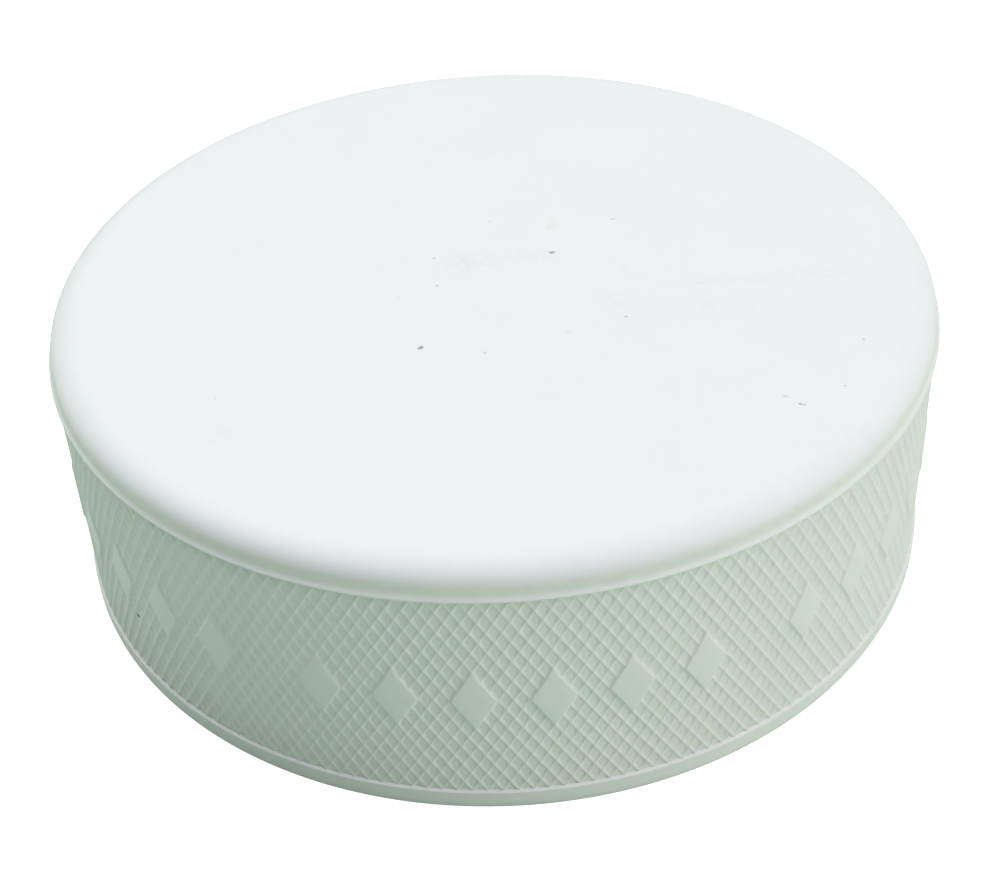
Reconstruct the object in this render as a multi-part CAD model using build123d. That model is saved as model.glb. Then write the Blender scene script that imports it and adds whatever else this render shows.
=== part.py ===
from build123d import *
from math import pi
import os

# An ice hockey puck: one disc of solid rubber, compression moulded in one shot.
# Millimetres. +Z is up, and the origin is the middle of the face that it rests on.

# Size of the disc
diameter = 76.2
thickness = 25.4

# Upper rim: the plain border above the patterned band. Its corner rounds over from the flat face
# down to an upright neck, and below that a thin bead stands proud of the band.
corner_width = 2.5
corner_height = 1.6
neck_height = 0.5
bead_reach = 0.3  # how far the bead stands out from the neck
bead_slope = 0.38  # height of the bead's flaring upper flank
bead_flat = 0.1  # height of the bead's outermost land
bead_underside = 0.17  # height of the flank that runs back to the band
upper_rim_height = corner_height + neck_height + bead_slope + bead_flat + bead_underside

# Lower rim: a rounded corner, an upright wall and a narrow shelf that runs back to the band
foot_radius = 1.35
wall_height = 1.08
shelf_rise = 0.05
lower_rim_height = foot_radius + wall_height + shelf_rise

# Band: the mean surface of the fine crossing ridges between the two rims
band_recess = 0.4

# Raised marks: a row of plain lozenges round the middle of the band. They lie on the lattice
# of the crossing ridges, which has this many cells round the puck and up the band.
cells_around = 198
cells_high = 10
mark_cells = 3  # a mark is this many cells wide and high
mark_spacing = 5  # cells from one mark to the next in a group
marks_in_group = 6
group_count = 6
mark_recess = 0.12  # the marks' flat tops, measured in from the outer diameter
mark_root = 0.6  # how far a mark is sunk into the disc, so that it is one with it

outer_radius = diameter / 2
neck_radius = outer_radius - bead_reach
band_radius = outer_radius - band_recess
mark_radius = outer_radius - mark_recess
band_foot = lower_rim_height
band_top = thickness - upper_rim_height
band_height = band_top - band_foot
band_middle = band_foot + band_height / 2
cell_width = 2 * pi * band_radius / cells_around
cell_height = band_height / cells_high
group_cells = cells_around / group_count


def upper_rim():
    """The section's outline from the flat upper face, over the corner and bead, to the band."""
    neck_top = thickness - corner_height
    neck_foot = neck_top - neck_height
    land_top = neck_foot - bead_slope
    land_foot = land_top - bead_flat
    centre = (neck_radius - corner_width, neck_top)
    return (
        EllipticalCenterArc(centre, corner_width, corner_height, 0, arc_size=90)
        + Line((neck_radius, neck_top), (neck_radius, neck_foot))
        + Line((neck_radius, neck_foot), (outer_radius, land_top))
        + Line((outer_radius, land_top), (outer_radius, land_foot))
        + Line((outer_radius, land_foot), (band_radius, band_top))
    )


def lower_rim():
    """The section's outline from the band, over the shelf and wall, to the flat lower face."""
    wall_top = foot_radius + wall_height
    centre = (outer_radius - foot_radius, foot_radius)
    return (
        Line((band_radius, band_foot), (outer_radius, wall_top))
        + Line((outer_radius, wall_top), (outer_radius, foot_radius))
        + CenterArc(centre, foot_radius, -90, 90)
    )


def disc():
    """The whole disc without its marks."""
    outline = (
        upper_rim()
        + Line((band_radius, band_top), (band_radius, band_foot))
        + lower_rim()
        + Line((outer_radius - foot_radius, 0), (0, 0))
        + Line((0, 0), (0, thickness))
        + Line((0, thickness), (neck_radius - corner_width, thickness))
    )
    return revolve(Plane.XZ * make_face(outline), Axis.Z)


def lozenge():
    """The flat outline of a mark, with a corner pointing up."""
    half_width = mark_cells * cell_width / 2
    half_height = mark_cells * cell_height / 2
    corners = [(half_width, 0), (0, half_height), (-half_width, 0), (0, -half_height)]
    return make_face(Polyline(*corners, close=True))


def mark(turn):
    """One raised lozenge, as a block through the disc's side, so many degrees round."""
    inner = mark_radius - mark_root
    face = Plane(origin=(inner, 0, band_middle), x_dir=(0, 1, 0), z_dir=(1, 0, 0)) * lozenge()
    return Rot(0, 0, turn) * extrude(face, 2 * mark_root)


def mark_turns():
    """The angle of every mark, in equal groups with a gap between them, in degrees."""
    row = (marks_in_group - 1) * mark_spacing
    turns = []
    for group in range(group_count):
        for place in range(marks_in_group):
            cells = (group + 0.5) * group_cells + place * mark_spacing - row / 2
            turns.append(360 * cells / cells_around)
    return turns


def puck_body():
    """The moulded puck: disc, rims, band and raised marks, as one solid."""
    blocks = Compound([mark(turn) for turn in mark_turns()])
    marks = blocks & (Pos(0, 0, band_middle) * Cylinder(mark_radius, band_height))
    return disc() + marks


os.makedirs("parts", exist_ok=True)
body = puck_body()
body.label = "puck_body"
export_step(body, "parts/puck_body.step")
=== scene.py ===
import math
import random

import bpy
import numpy as np
from mathutils import Matrix, Vector


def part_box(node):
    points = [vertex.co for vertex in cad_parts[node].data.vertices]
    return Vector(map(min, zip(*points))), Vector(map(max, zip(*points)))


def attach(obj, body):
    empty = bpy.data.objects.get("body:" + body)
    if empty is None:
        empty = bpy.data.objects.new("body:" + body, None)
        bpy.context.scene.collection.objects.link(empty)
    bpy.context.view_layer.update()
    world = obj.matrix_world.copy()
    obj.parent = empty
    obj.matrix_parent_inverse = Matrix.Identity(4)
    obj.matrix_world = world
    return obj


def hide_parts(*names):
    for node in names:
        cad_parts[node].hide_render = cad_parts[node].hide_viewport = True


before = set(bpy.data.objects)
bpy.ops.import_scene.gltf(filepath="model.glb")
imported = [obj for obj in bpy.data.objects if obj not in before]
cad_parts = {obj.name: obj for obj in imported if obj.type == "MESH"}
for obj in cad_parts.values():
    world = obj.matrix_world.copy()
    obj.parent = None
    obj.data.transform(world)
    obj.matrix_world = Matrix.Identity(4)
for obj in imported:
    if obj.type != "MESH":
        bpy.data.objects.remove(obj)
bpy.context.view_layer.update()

# The moulded puck, its material, the floor, lights and camera. The moulding is worked out in
# millimetres about the puck's middle, and put into metres in the row frame at the end.

MM = 0.001
low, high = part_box("puck_body")
OUTER_RADIUS = (high.x - low.x) / 2 / MM
HALF_THICKNESS = (high.z - low.z) / 2 / MM
MIDDLE = (low + high) / 2

# Upper rim, as in the CAD section: a corner that rounds over from the flat face to an upright neck,
# then a bead that flares out, with a short land and an underside that runs back to the band.
CORNER_WIDTH = 2.5
CORNER_HEIGHT = 1.6
NECK_HEIGHT = 0.5
BEAD_REACH = 0.3
BEAD_SLOPE = 0.38
BEAD_FLAT = 0.1
BEAD_UNDERSIDE = 0.17
# Lower rim: a narrow shelf out from the band, an upright wall and a rounded corner.
SHELF_DROP = 0.05
WALL_HEIGHT = 1.08
FOOT_RADIUS = 1.35

LAND_FOOT = HALF_THICKNESS - CORNER_HEIGHT - NECK_HEIGHT - BEAD_SLOPE - BEAD_FLAT
BAND_TOP = LAND_FOOT - BEAD_UNDERSIDE
WALL_TOP = -HALF_THICKNESS + FOOT_RADIUS + WALL_HEIGHT
BAND_FOOT = WALL_TOP + SHELF_DROP
BAND_MIDDLE = (BAND_TOP + BAND_FOOT) / 2

# Lattice of crossing ridges round the band. Columns count half cells round the puck and levels
# count them up from the band's middle, so cells sit where column + level is even, and ridges
# cross where it is odd.
CELLS_AROUND = 198
CELLS_HIGH = 10
COLUMNS = 2 * CELLS_AROUND
HALF_TURN = math.pi / CELLS_AROUND
HALF_CELL = (BAND_TOP - BAND_FOOT) / 2 / CELLS_HIGH
CREST_RECESS = 0.23
CREST_RADIUS = OUTER_RADIUS - CREST_RECESS
PIT_DEPTH = 0.12
MOULD_WANDER = 0.012
WANDER_SEED = 7
# Nothing on the band lies as deep as this radius.
BAND_FLOOR = CREST_RADIUS - PIT_DEPTH - 2 * MOULD_WANDER
# How far in from a cell's edge each step of the ridge's flank lies, as a share of the cell, and
# how far down the pit it is there.
FLANK = ((0.03, 0.08), (0.18, 0.9), (0.22, 1.0), (0.27, 1.0))
# How far outside a mark a ridge is back at its usual height, as a share of the cell's side.
STUB = 0.1

# Raised lozenges: the ridge lines that cross each one, either way, in cells from its middle, and
# its bevel in cells. The last two lines are its outline.
MARK_LINES = (-1.5, -0.5, 0.5, 1.5)
MARK_BEVEL = 0.13
MARK_RECESS = 0.12
MARK_RADIUS = OUTER_RADIUS - MARK_RECESS
MARK_EDGE = 0.06
MARK_SPACING = 5
MARKS_IN_GROUP = 6
GROUPS = 6

# Small roundings that the mould leaves along the bead, shelf and wall edges.
SOFT = 0.05
# Points up the bead's flank: how far each is out of the neck, as a share of the bead's reach, and
# how far it is above the land, as a share of the flank's height.
BEAD_FLANK = ((0.72, 0.2), (0.42, 0.45), (0.16, 0.75), (0.04, 1.05), (0.0, 1.45))
CORNER_STEPS = 12
# Circles of points across each flat face: how many points, and the radius.
FACE_RINGS = ((COLUMNS, 33), (198, 28), (99, 20), (33, 10), (11, 3))


class Moulding:
    """Collects the puck's points and faces, in millimetres about its middle."""

    def __init__(self):
        self.points = []
        self.faces = []
        self.on_rim = []
        self.named = {}

    def point(self, radius, turn, height):
        self.points.append((radius * math.cos(turn), radius * math.sin(turn), height))
        return len(self.points) - 1

    def shared(self, name, radius, turn, height):
        """The point of that name, made the first time that it is asked for."""
        if name not in self.named:
            self.named[name] = self.point(radius, turn, height)
        return self.named[name]

    def face(self, *corners, on_rim=False):
        self.faces.append(corners)
        self.on_rim.append(on_rim)

    def bridge(self, coarse, fine, outward):
        """Joins two circles of a rim's points, where fine has a multiple of coarse's count."""
        step = len(fine) // len(coarse)
        for n in range(len(coarse)):
            after = (n + 1) % len(coarse)
            span = [fine[(n * step + k) % len(fine)] for k in range(step + 1)]
            corners = [coarse[after], coarse[n]] + span
            self.face(*(corners if outward else reversed(corners)), on_rim=True)


def height_of(level):
    """Height of a level of the lattice above the puck's middle."""
    return BAND_MIDDLE + level * HALF_CELL


def mark_columns():
    """The column of every mark's middle, in equal groups with a gap between them."""
    group_columns = COLUMNS // GROUPS
    row = (MARKS_IN_GROUP - 1) * MARK_SPACING
    columns = []
    for group in range(GROUPS):
        for place in range(MARKS_IN_GROUP):
            middle = group * group_columns + group_columns // 2
            columns.append((middle + 2 * place * MARK_SPACING - row) % COLUMNS)
    return columns


MARKS = mark_columns()


def lattice_place(mark, p, q):
    """Column and level of a point p and q cells from a mark's middle, along the two ridge ways."""
    return mark + p + q, p - q


def mark_cells_and_nodes():
    """The cells that marks cover, and every crossing on a mark's outline."""
    covered, nodes = set(), set()
    for mark in MARKS:
        for p in (-1, 0, 1):
            for q in (-1, 0, 1):
                column, level = lattice_place(mark, p, q)
                covered.add((column % COLUMNS, level))
        for p in MARK_LINES:
            for q in MARK_LINES:
                if max(abs(p), abs(q)) == MARK_LINES[-1]:
                    column, level = lattice_place(mark, p, q)
                    nodes.add((int(column) % COLUMNS, int(level)))
    return covered, nodes


COVERED, RAISED = mark_cells_and_nodes()


def node(mould, wander, column, level):
    """The point where two ridges cross."""
    column %= COLUMNS
    raised = (column, level) in RAISED
    radius = MARK_RADIUS - MARK_EDGE if raised else CREST_RADIUS + wander[column, level]
    return mould.shared(("node", column, level), radius, column * HALF_TURN, height_of(level))


def stub(mould, wander, near, far):
    """A point on the ridge just outside a mark, where its crest drops back to the usual height."""
    near_raised = (near[0] % COLUMNS, near[1]) in RAISED
    far_raised = (far[0] % COLUMNS, far[1]) in RAISED
    if not near_raised or far_raised:
        return None
    column = near[0] + (far[0] - near[0]) * STUB
    level = near[1] + (far[1] - near[1]) * STUB
    radius = CREST_RADIUS + wander[far[0] % COLUMNS, far[1]]
    name = ("stub", near[0] % COLUMNS, near[1], far[0] % COLUMNS, far[1])
    return mould.shared(name, radius, column * HALF_TURN, height_of(level))


def pit(mould, wander, column, level):
    """One whole cell: four ridge flanks down to a flat floor."""
    sides = ((-1, 0), (0, -1), (1, 0), (0, 1))
    corners = [(column + c, level + k) for c, k in sides]
    outer = [node(mould, wander, *corner) for corner in corners]
    depth = PIT_DEPTH + wander[column, level]
    for step, (inset, drop) in enumerate(FLANK):
        scale = 1 - 2 * inset
        inner = [
            mould.point(
                CREST_RADIUS - drop * depth,
                (column + c * scale) * HALF_TURN,
                height_of(level + k * scale),
            )
            for c, k in sides
        ]
        for n in range(4):
            after = (n + 1) % 4
            if step:
                mould.face(outer[n], outer[after], inner[after], inner[n])
                continue
            near = stub(mould, wander, corners[n], corners[after])
            far = stub(mould, wander, corners[after], corners[n])
            if near is not None:
                mould.face(outer[n], near, inner[n])
                mould.face(near, outer[after], inner[after], inner[n])
            elif far is not None:
                mould.face(outer[n], far, inner[after], inner[n])
                mould.face(far, outer[after], inner[after])
            else:
                mould.face(outer[n], outer[after], inner[after], inner[n])
        outer = inner
    mould.face(*outer)


def half_pit(mould, wander, column, end):
    """Half a cell at the top (end 1) or bottom (end -1) of the band, open to the rim.
    Returns its points along the rim, from its left crossing to just before its right one."""
    level = end * CELLS_HIGH
    left = node(mould, wander, column - 1, level)
    tip = node(mould, wander, column, level - end)
    right = node(mould, wander, column + 1, level)
    rim_left, rim_right = [left], []
    depth = PIT_DEPTH + wander[column, level]
    for inset, drop in FLANK:
        scale = 1 - 2 * inset
        radius = CREST_RADIUS - drop * depth
        next_left = mould.point(radius, (column - scale) * HALF_TURN, height_of(level))
        next_tip = mould.point(radius, column * HALF_TURN, height_of(level - end * scale))
        next_right = mould.point(radius, (column + scale) * HALF_TURN, height_of(level))
        two_faces = (left, tip, next_tip, next_left), (tip, right, next_right, next_tip)
        for corners in two_faces:
            mould.face(*(corners if end > 0 else reversed(corners)))
        left, tip, right = next_left, next_tip, next_right
        rim_left.append(left)
        rim_right.insert(0, right)
    middle = mould.point(CREST_RADIUS - depth, column * HALF_TURN, height_of(level))
    corners = (left, tip, right, middle)
    mould.face(*(corners if end > 0 else reversed(corners)))
    return rim_left + [middle] + rim_right


def mark_top(mould, wander, mark):
    """The raised flat top of one mark, with a small bevel round its edge."""
    last = len(MARK_LINES) - 1
    flat = MARK_LINES[last] - MARK_BEVEL
    flat_lines = (-flat, *MARK_LINES[1:last], flat)

    def edge(i, j):
        column, level = lattice_place(mark, MARK_LINES[i], MARK_LINES[j])
        return node(mould, wander, int(column), int(level))

    def top(i, j):
        column, level = lattice_place(mark, flat_lines[i], flat_lines[j])
        return mould.shared(("top", mark, i, j), MARK_RADIUS, column * HALF_TURN, height_of(level))

    def bevel(start, end):
        mould.face(edge(*start), edge(*end), top(*end), top(*start))

    # The flat top, and then a piece of the bevel along each of the lozenge's sides in turn.
    for i in range(last):
        for j in range(last):
            mould.face(top(i, j), top(i, j + 1), top(i + 1, j + 1), top(i + 1, j))
    for n in range(last):
        bevel((0, n), (0, n + 1))
        bevel((last, n + 1), (last, n))
        bevel((n + 1, 0), (n, 0))
        bevel((n, last), (n + 1, last))


def quarter_round(radius, height, width, depth):
    """Points round a quarter of an ellipse, from its outermost point to its top or bottom."""
    steps = [math.pi / 2 * n / CORNER_STEPS for n in range(CORNER_STEPS + 1)]
    return [(radius + width * math.cos(a), height + depth * math.sin(a)) for a in steps]


def upper_profile():
    """Radius and height of each circle of points from the bead's underside to the flat face."""
    neck = OUTER_RADIUS - BEAD_REACH
    neck_top = HALF_THICKNESS - CORNER_HEIGHT
    land_top = LAND_FOOT + BEAD_FLAT
    bead = [
        (OUTER_RADIUS - SOFT, LAND_FOOT - SOFT / 2),
        (OUTER_RADIUS, LAND_FOOT + SOFT / 2),
        (OUTER_RADIUS - SOFT / 4, land_top),
    ]
    # The flank flares out in a hollow curve.
    for out, up in BEAD_FLANK:
        bead.append((neck + out * BEAD_REACH, land_top + up * BEAD_SLOPE))
    return bead + quarter_round(neck - CORNER_WIDTH, neck_top, CORNER_WIDTH, CORNER_HEIGHT)


def lower_profile():
    """Radius and height of each circle of points from the shelf's edge to the flat face."""
    wall_foot = -HALF_THICKNESS + FOOT_RADIUS
    shelf = [(OUTER_RADIUS - SOFT, WALL_TOP + SOFT / 4), (OUTER_RADIUS, WALL_TOP - SOFT)]
    return shelf + quarter_round(OUTER_RADIUS - FOOT_RADIUS, wall_foot, FOOT_RADIUS, -FOOT_RADIUS)


def rim(mould, band_edge, profile, face_height):
    """From the band's edge out over a rim to the middle of a flat face."""
    outward = face_height > 0
    turns = [math.atan2(mould.points[n][1], mould.points[n][0]) for n in band_edge]

    def circle(count, radius, height):
        return [
            mould.point(radius, turns[0] + 2 * math.pi * n / count, height) for n in range(count)
        ]

    radius, height = profile[0]
    rings = [band_edge, [mould.point(radius, turn, height) for turn in turns]]
    rings += [circle(COLUMNS, radius, height) for radius, height in profile[1:]]
    rings += [circle(count, radius, face_height) for count, radius in FACE_RINGS]
    for outer, inner in zip(rings, rings[1:]):
        mould.bridge(inner, outer, outward)
    mould.face(*(rings[-1] if outward else reversed(rings[-1])), on_rim=True)


def make_wander():
    """Small random unevenness of the mould at each crossing and cell, in millimetres."""
    dice = random.Random(WANDER_SEED)
    wander = {}
    for column in range(COLUMNS):
        for level in range(-CELLS_HIGH, CELLS_HIGH + 1):
            wander[column, level] = dice.uniform(-MOULD_WANDER, MOULD_WANDER)
    return wander


def make_puck():
    mould = Moulding()
    wander = make_wander()
    for column in range(COLUMNS):
        for level in range(1 - CELLS_HIGH, CELLS_HIGH):
            if (column + level) % 2 == 0 and (column, level) not in COVERED:
                pit(mould, wander, column, level)
    for mark in MARKS:
        mark_top(mould, wander, mark)
    for end, profile in ((1, upper_profile()), (-1, lower_profile())):
        band_edge = []
        for column in range(0, COLUMNS, 2):
            band_edge += half_pit(mould, wander, column, end)
        rim(mould, band_edge, profile, end * HALF_THICKNESS)
    mesh = bpy.data.meshes.new("puck")
    points = [Vector(p) * MM + MIDDLE for p in mould.points]
    mesh.from_pydata(points, [], mould.faces)
    mesh.validate()
    mesh.polygons.foreach_set("use_smooth", [True] * len(mesh.polygons))
    puck = bpy.data.objects.new("puck", mesh)
    bpy.context.scene.collection.objects.link(puck)
    weigh_normals(mesh, mould.on_rim)
    return puck


def weigh_normals(mesh, on_rim):
    """Smooth normals weighted by face area, so that flat floors and tops stay flat. The band and
    the rims are smoothed apart, so that the edges between them stay crisp."""
    total = np.zeros((2, len(mesh.vertices), 3))
    for face in mesh.polygons:
        weight = np.array(face.normal) * face.area
        for point in face.vertices:
            total[int(on_rim[face.index]), point] += weight
    normals = []
    for face in mesh.polygons:
        side = total[int(on_rim[face.index])]
        normals += [Vector(side[point]).normalized() for point in face.vertices]
    mesh.normals_split_custom_set(normals)


# The colour mixing node's sockets: its two colours going in and the one coming out.
MIX_FIRST, MIX_SECOND, MIX_RESULT = 6, 7, 2
# Stretches a spot on a flat face through the puck, so that only its place across counts.
ANY_HEIGHT = 10000


class Shading:
    """Adds nodes to a material and joins them up. Places and lengths are in millimetres."""

    def __init__(self, name):
        self.material = bpy.data.materials.new(name)
        self.material.use_nodes = True
        self.tree = self.material.node_tree
        self.shader = self.tree.nodes["Principled BSDF"]

    def feed(self, socket, value):
        if isinstance(value, bpy.types.NodeSocket):
            self.tree.links.new(value, socket)
        else:
            socket.default_value = value

    def node(self, kind, inputs, **settings):
        node = self.tree.nodes.new(kind)
        for name, value in settings.items():
            setattr(node, name, value)
        for name, value in inputs.items():
            self.feed(node.inputs[name], value)
        return node

    def math(self, operation, *values):
        inputs = dict(enumerate(values))
        return self.node("ShaderNodeMath", inputs, operation=operation).outputs[0]

    def product(self, value, *others):
        for other in others:
            value = self.math("MULTIPLY", value, other)
        return value

    def place(self):
        """Where the point is on the object."""
        place = self.tree.nodes.new("ShaderNodeTexCoord").outputs["Object"]
        inputs = {0: place, "Scale": 1 / MM}
        return self.node("ShaderNodeVectorMath", inputs, operation="SCALE").outputs[0]

    def noise(self, place, scale, detail=2.0, output="Fac"):
        """Cloudy noise from 0 to 1, with scale features to the millimetre."""
        inputs = {"Vector": place, "Scale": scale, "Detail": detail}
        return self.node("ShaderNodeTexNoise", inputs).outputs[output]

    def length(self, vector):
        return self.node("ShaderNodeVectorMath", {0: vector}, operation="LENGTH").outputs["Value"]

    def ramp(self, value, start, end, low=0.0, high=1.0):
        """Goes smoothly from low to high as value goes from start to end."""
        inputs = {"Value": value, "From Min": start, "From Max": end, "To Min": low, "To Max": high}
        kind = "ShaderNodeMapRange"
        return self.node(kind, inputs, interpolation_type="SMOOTHSTEP").outputs[0]

    def blend(self, share, first, second):
        """From the first colour to the second as share goes from 0 to 1."""
        node = self.node("ShaderNodeMix", {0: share}, data_type="RGBA")
        self.feed(node.inputs[MIX_FIRST], first)
        self.feed(node.inputs[MIX_SECOND], second)
        return node.outputs[MIX_RESULT]

    def spot(self, place, x, y, half_length, half_width, turn):
        """Distance from a spot on the flat faces, where its own outline is at 1."""
        inputs = {
            "Vector": place,
            "Location": (x, y, 0),
            "Rotation": (0, 0, math.radians(turn)),
            "Scale": (half_length, half_width, ANY_HEIGHT),
        }
        return self.length(self.node("ShaderNodeMapping", inputs, vector_type="TEXTURE").outputs[0])

    def spots(self, place, listed, core):
        """The listed spots on the upper face, each solid within core and gone at its outline."""
        total = 0.0
        for x, y, half_length, half_width, turn, strength in listed:
            distance = self.spot(place, x, y, half_length, half_width, turn)
            total = self.math("MAXIMUM", self.ramp(distance, core, 1.0, strength, 0.0), total)
        return total


# Wear on the upper face: where each spot's middle is, in millimetres right of and away from the
# face's middle, its half length and half width, its turn in degrees, and how strong it is.
SPECKS = (
    (-5.87, -10.2, 0.36, 0.28, 20, 0.62),
    (5.63, 2.9, 0.38, 0.26, 15, 0.62),
    (11.35, 7.8, 0.36, 0.2, 0, 0.22),
    (-4.67, 3.0, 0.2, 0.15, 0, 0.38),
    (-4.47, -1.3, 0.17, 0.15, 0, 0.38),
    (-0.67, -11.4, 0.2, 0.14, 10, 0.34),
    (11.17, -7.4, 0.18, 0.15, 0, 0.38),
    (0.37, 8.5, 0.18, 0.16, 0, 0.14),
    (6.33, -9.2, 0.42, 0.3, 0, 0.07),
    (22.53, -19.3, 0.3, 0.22, 0, 0.25),
    (23.63, -20.4, 0.42, 0.11, -28, 0.7),
    (29.93, -12.4, 0.13, 0.16, 0, 0.45),
    (-22.17, -15.5, 0.1, 0.22, 0, 0.3),
    (-7.77, -2.8, 0.12, 0.11, 0, 0.28),
    (27.33, -18.4, 0.14, 0.1, 0, 0.35),
    (-11.27, -1.9, 0.1, 0.1, 0, 0.2),
)
SMUDGES = (
    (-1.7, 1.9, 3.6, 2.6, 0, 1.0),
    (3.3, 2.2, 3.8, 1.9, 0, 0.7),
    (9.9, -5.0, 2.4, 2.2, 0, 0.55),
    (11.5, -0.5, 3.2, 1.2, -50, 0.4),
    (17.4, -3.1, 3.0, 0.5, 2, 1.0),
    (22.0, -3.0, 11.0, 1.3, 1, 0.5),
    (26.8, -2.9, 5.8, 1.9, 0, 0.6),
    (17.9, -6.5, 1.1, 1.9, 0, 0.7),
    (20.6, -7.8, 2.4, 1.6, 0, 0.45),
    (25.7, -13.6, 2.4, 3.4, 0, 0.35),
    (-20.8, -19.8, 4.2, 2.4, 30, 0.45),
)
STAINS = ((5.7, 6.9, 0.8, 1.1, -20, 1.0),)

PALE_RUBBER = (0.812, 0.852, 0.828, 1)
DULL_RUBBER = (0.788, 0.834, 0.803, 1)
YELLOWED_RUBBER = (0.812, 0.848, 0.788, 1)
# The next colour is both the smudges' grime and the painted shade in the band's pits.
GRIME_AND_PIT_SHADE = (0.54, 0.54, 0.50, 1)
STAIN = (0.72, 0.73, 0.52, 1)
SPECK = (0.012, 0.018, 0.012, 1)

# Noises in the rubber, in features to the millimetre.
CLOUD_SCALE = 0.11
WAVE_SCALE = 0.35
MOTTLE_SCALE = 0.9
DUST_SCALE = 1.7
GRAIN_SCALE = 3.2
RAGGED_SCALE = 5.0
PORE_SCALE = 7.0
SPECK_SCALE = 0.1

# How much each noise counts in the colour, and where their sum reads as dull and as pale.
CLOUD_SHARE, MOTTLE_SHARE, GRAIN_SHARE = 0.5, 0.35, 0.3
DULL_TO_PALE = (0.38, 0.78)
# Where the mottle starts to yellow the band and has done so, and the same for dust and dirt.
YELLOWING = (0.4, 0.6)
DUSTING = (0.3, 0.66)

# How strongly the painted shade shows in the pits, how strongly smudges and stains show, and how
# much of a smudge, a stain and a listed speck is solid.
PIT_SHADE = 0.1
SMUDGE_STRENGTH = 0.17
STAIN_STRENGTH = 0.5
SMUDGE_CORE = 0.0
STAIN_CORE = 0.2
SPECK_CORE = 0.3
# How far the outlines of specks wander, the share of places without a scattered speck, the largest
# scattered speck as a share of their spacing, and how dark scattered specks are.
RAGGEDNESS = 0.3
SPECKLESS = 0.5
LARGEST_SPECK = 0.022
SCATTERED_STRENGTH = 0.75
# How far below the upper face its wear has faded out, and where it starts to.
WEAR_DEPTH = (0.3, 0.05)

# Roughness, and what mottle, clouds, rubbing and smudges add to it.
ROUGHNESS = 0.43
MOTTLE_ROUGHNESS = 0.16
CLOUD_ROUGHNESS = 0.1
RUBBED_ROUGHNESS = -0.07
SMUDGE_ROUGHNESS = 0.8
# Height of the waves, grain and pores in the skin, in millimetres.
WAVE_RELIEF = 0.008
GRAIN_RELIEF = 0.004
PORE_RELIEF = 0.0025


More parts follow.
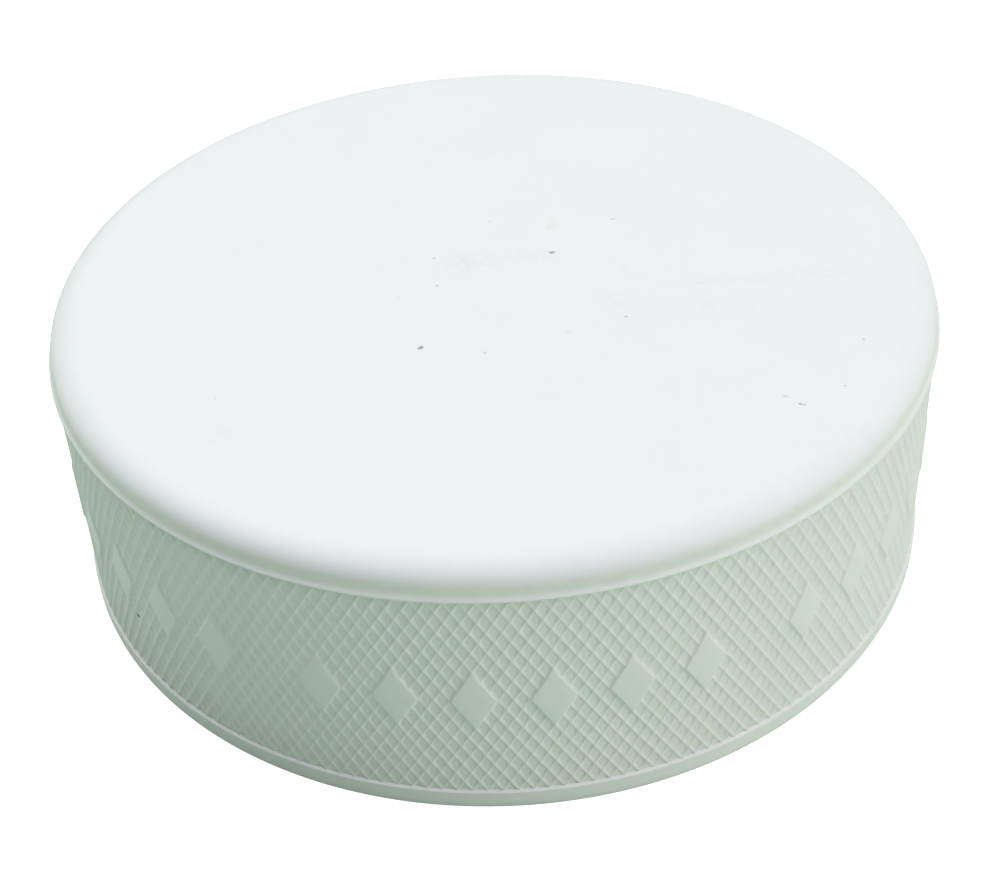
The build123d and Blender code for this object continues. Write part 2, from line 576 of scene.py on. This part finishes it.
def rubber():
    """White moulded rubber: faintly mottled and grained, smudged and specked with use; painted
    shade in its pits.
    """
    shade = Shading("white_rubber")
    place = shade.place()
    apart = shade.node("ShaderNodeSeparateXYZ", {0: place}).outputs
    across = shade.node("ShaderNodeCombineXYZ", {0: apart[0], 1: apart[1]}).outputs[0]
    radius = shade.length(across)
    upper = shade.ramp(apart[2], *(high.z / MM - depth for depth in WEAR_DEPTH))
    band = shade.product(
        shade.math("LESS_THAN", radius, OUTER_RADIUS - MARK_RECESS / 2),
        shade.math("GREATER_THAN", radius, BAND_FLOOR),
    )
    clouds = shade.noise(place, CLOUD_SCALE)
    mottle = shade.noise(place, MOTTLE_SCALE, detail=3.0)
    grain = shade.noise(place, GRAIN_SCALE)
    dust = shade.ramp(shade.noise(place, DUST_SCALE, detail=4.0), *DUSTING)

    # Colour: dull and pale rubber mixed in clouds, mottles and grain, and slightly yellower
    # blotches on the band.
    mixed = shade.math("MULTIPLY", clouds, CLOUD_SHARE)
    mixed = shade.math("MULTIPLY_ADD", mottle, MOTTLE_SHARE, mixed)
    mixed = shade.math("MULTIPLY_ADD", grain, GRAIN_SHARE, mixed)
    colour = shade.blend(shade.ramp(mixed, *DULL_TO_PALE), DULL_RUBBER, PALE_RUBBER)
    blotches = shade.product(band, shade.ramp(mottle, *YELLOWING))
    colour = shade.blend(blotches, colour, YELLOWED_RUBBER)

    # Painted shade, patchy with dust, deepening into the band's pits; patchy smudges on the upper
    # face; a yellowish stain.
    pit_shade = shade.ramp(radius, CREST_RADIUS - PIT_DEPTH, CREST_RADIUS, PIT_SHADE, 0.0)
    pit_shade = shade.product(pit_shade, band, dust)
    smudges = shade.product(shade.spots(place, SMUDGES, SMUDGE_CORE), dust, upper, SMUDGE_STRENGTH)
    colour = shade.blend(shade.math("MAXIMUM", smudges, pit_shade), colour, GRIME_AND_PIT_SHADE)
    stains = shade.product(shade.spots(place, STAINS, STAIN_CORE), dust, upper, STAIN_STRENGTH)
    colour = shade.blend(stains, colour, STAIN)

    # Dark specks bedded in the rubber: the listed ones above, and scattered ones elsewhere.
    wander = {0: shade.noise(place, RAGGED_SCALE, output="Color"), "Scale": RAGGEDNESS}
    wander = shade.node("ShaderNodeVectorMath", wander, operation="SCALE").outputs[0]
    ragged = shade.node("ShaderNodeVectorMath", {0: place, 1: wander}).outputs[0]
    listed = shade.product(shade.spots(ragged, SPECKS, SPECK_CORE), upper)
    cells = shade.node("ShaderNodeTexVoronoi", {"Vector": ragged, "Scale": SPECK_SCALE}).outputs
    pick = shade.node("ShaderNodeSeparateColor", {0: cells["Color"]}).outputs[0]
    size = shade.ramp(pick, SPECKLESS, 1.0, 0.0, LARGEST_SPECK)
    scattered = shade.math("LESS_THAN", cells["Distance"], size)
    elsewhere = shade.math("SUBTRACT", SCATTERED_STRENGTH, upper)
    specks = shade.math("MAXIMUM", listed, shade.product(scattered, elsewhere))
    colour = shade.blend(specks, colour, SPECK)
    shade.feed(shade.shader.inputs["Base Color"], colour)

    # Roughness: matte, a little polished where the bead and marks rub, duller in smudges.
    rubbed = shade.ramp(radius, MARK_RADIUS - MARK_EDGE, OUTER_RADIUS, 0.0, RUBBED_ROUGHNESS)
    rough = shade.math("MULTIPLY_ADD", mottle, MOTTLE_ROUGHNESS, ROUGHNESS)
    rough = shade.math("MULTIPLY_ADD", clouds, CLOUD_ROUGHNESS, rough)
    rough = shade.math("ADD", rough, rubbed)
    rough = shade.math("MULTIPLY_ADD", smudges, SMUDGE_ROUGHNESS, rough)
    shade.feed(shade.shader.inputs["Roughness"], rough)

    # Relief of the moulded skin: slow waves, a fine grain and pores.
    skin = shade.math("MULTIPLY", shade.noise(place, WAVE_SCALE), WAVE_RELIEF)
    skin = shade.math("MULTIPLY_ADD", grain, GRAIN_RELIEF, skin)
    skin = shade.math("MULTIPLY_ADD", shade.noise(place, PORE_SCALE), PORE_RELIEF, skin)
    bump = shade.node("ShaderNodeBump", {"Height": skin, "Distance": MM, "Strength": 1.0})
    shade.feed(shade.shader.inputs["Normal"], bump.outputs[0])
    return shade.material


# The floor reads near white to the camera, but throws back only what a pale grey floor would, so
# that the puck's side keeps its shading. Its own faint glow keeps the puck's shadow on it light.
FLOOR_COLOUR = (0.50, 0.67, 0.52, 1)
# A painted shadow darkens the floor close to the puck on its shaded side, so that it throws back
# less
# there: the middle and radius of that painted shadow in millimetres, and the share of the radius
# where it starts to fade.
PAINTED_SHADOW_COLOUR = (0.30, 0.40, 0.312, 1)
PAINTED_SHADOW_PLACE = (-12, -15.5)
PAINTED_SHADOW_RADIUS = 40
PAINTED_SHADOW_CORE = 0.4
FLOOR_GLOW = 0.13
FLOOR_GLOW_TINT = (0.85, 1.0, 0.85, 1)
FLOOR_WHITENING = 1.1
WHITENING_TINT = (1.0, 0.9, 1.0, 1)
FLOOR_SIZE = 6  # metres
FLOOR_ROUGHNESS = 0.9


def floor():
    """A plain pale floor under the puck, with a painted shadow close to it on its shaded side."""
    bpy.ops.mesh.primitive_plane_add(size=FLOOR_SIZE, location=(0, 0, low.z))
    plane = bpy.context.object
    plane.name = "floor"
    shade = Shading("pale_floor")
    # Painted shadow: the floor's colour is darker close to the puck on its shaded side.
    distance = shade.spot(shade.place(), *PAINTED_SHADOW_PLACE, PAINTED_SHADOW_RADIUS, PAINTED_SHADOW_RADIUS, 0)
    colour = shade.blend(shade.ramp(distance, PAINTED_SHADOW_CORE, 1.0), PAINTED_SHADOW_COLOUR, FLOOR_COLOUR)
    shade.feed(shade.shader.inputs["Base Color"], colour)
    shade.feed(shade.shader.inputs["Roughness"], FLOOR_ROUGHNESS)
    shade.feed(shade.shader.inputs["Specular IOR Level"], 0.0)
    shade.feed(shade.shader.inputs["Emission Color"], FLOOR_GLOW_TINT)
    shade.feed(shade.shader.inputs["Emission Strength"], FLOOR_GLOW)
    whitening = shade.node("ShaderNodeEmission", {"Color": WHITENING_TINT})
    seen = shade.tree.nodes.new("ShaderNodeLightPath").outputs["Is Camera Ray"]
    strength = shade.math("MULTIPLY", seen, FLOOR_WHITENING)
    shade.feed(whitening.inputs["Strength"], strength)
    both = shade.node("ShaderNodeAddShader", {0: shade.shader.outputs[0], 1: whitening.outputs[0]})
    output = shade.tree.nodes["Material Output"]
    shade.feed(output.inputs["Surface"], both.outputs[0])
    plane.data.materials.append(shade.material)


# Each light's name, direction round the puck from +X and up from the floor, width as seen from the
# puck, all in degrees, strength in watts per square metre, and colour.
OVERHEAD_TINT = (0.81, 0.8, 1.0)
LEFT_TINT = (0.96, 1.0, 0.91)
LOW_LEFT_TINT = (1.0, 0.97, 0.93)
RIGHT_TINT = (1.0, 0.93, 0.923)
LIGHTS = (
    ("overhead", 0, 90, 60, 1.3, OVERHEAD_TINT),
    ("front_right", -45, 45, 50, 0.774, RIGHT_TINT),
    ("right", 0, 40, 50, 0.72, RIGHT_TINT),
    ("low_right", -22, 20, 30, 0.516, RIGHT_TINT),
    ("back", 90, 45, 50, 0.6, LEFT_TINT),
    ("back_left", 135, 45, 50, 0.79, LEFT_TINT),
    ("low_left", 150, 15, 30, 0.64, LOW_LEFT_TINT),
)


def softbox(name, azimuth, elevation, width, strength, colour):
    """A distant round softbox that shines on the puck from that direction."""
    around, above = math.radians(azimuth), math.radians(elevation)
    level = math.cos(above)
    away = Vector((math.cos(around) * level, math.sin(around) * level, math.sin(above)))
    data = bpy.data.lights.new(name, "SUN")
    data.angle = math.radians(width)
    data.energy = strength
    data.color = colour
    light = bpy.data.objects.new(name, data)
    light.location = MIDDLE + away
    light.rotation_mode = "QUATERNION"
    light.rotation_quaternion = away.to_track_quat("Z", "Y")
    bpy.context.scene.collection.objects.link(light)


def studio():
    """The soft lights, and a plain surround that looks white but gives no light."""
    for light in LIGHTS:
        softbox(*light)
    world = bpy.data.worlds.new("studio")
    bpy.context.scene.world = world
    world.use_nodes = True
    nodes, links = world.node_tree.nodes, world.node_tree.links
    sky = nodes["Background"]
    sky.inputs["Color"].default_value = (1, 1, 1, 1)
    seen = nodes.new("ShaderNodeLightPath").outputs["Is Camera Ray"]
    links.new(seen, sky.inputs["Strength"])


# The camera's distance from the puck's middle in metres, its elevation, and how far it is panned,
# tilted and rolled from looking straight at the middle, in degrees.
CAMERA_DISTANCE = 0.164917
CAMERA_ELEVATION = 37.291
CAMERA_PAN = -0.0155
CAMERA_TILT = -1.4778
CAMERA_ROLL = 3.1607
# Its sensor's width and its lens in millimetres, and how near it sees in metres.
SENSOR_WIDTH = 36
LENS = 65.63952
NEAR_LIMIT = 0.01


def camera():
    """A camera that looks down at the puck from in front, a little low and rolled."""
    elevation = math.radians(CAMERA_ELEVATION)
    pan = math.radians(CAMERA_PAN)
    tilt = math.radians(CAMERA_TILT)
    roll = math.radians(CAMERA_ROLL)

    place = Vector((0, -math.cos(elevation), math.sin(elevation))) * CAMERA_DISTANCE
    forward = -place.normalized()
    right = Vector((1, 0, 0))
    up = right.cross(forward)
    forward = Matrix.Rotation(pan, 3, up) @ forward
    right = Matrix.Rotation(pan, 3, up) @ right
    forward = Matrix.Rotation(tilt, 3, right) @ forward
    up = Matrix.Rotation(tilt, 3, right) @ up
    right = Matrix.Rotation(roll, 3, forward) @ right
    up = Matrix.Rotation(roll, 3, forward) @ up

    data = bpy.data.cameras.new("camera")
    data.sensor_width = SENSOR_WIDTH
    data.lens = LENS
    data.clip_start = NEAR_LIMIT
    view = bpy.data.objects.new("camera", data)
    turn = Matrix((right, up, -forward)).transposed()
    view.matrix_world = Matrix.Translation(MIDDLE + place) @ turn.to_4x4()
    bpy.context.scene.collection.objects.link(view)
    bpy.context.scene.camera = view


camera()
puck = make_puck()
puck.data.materials.append(rubber())
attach(puck, "root")
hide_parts("puck_body")
floor()
studio()
bpy.context.scene.view_settings.view_transform = "Standard"
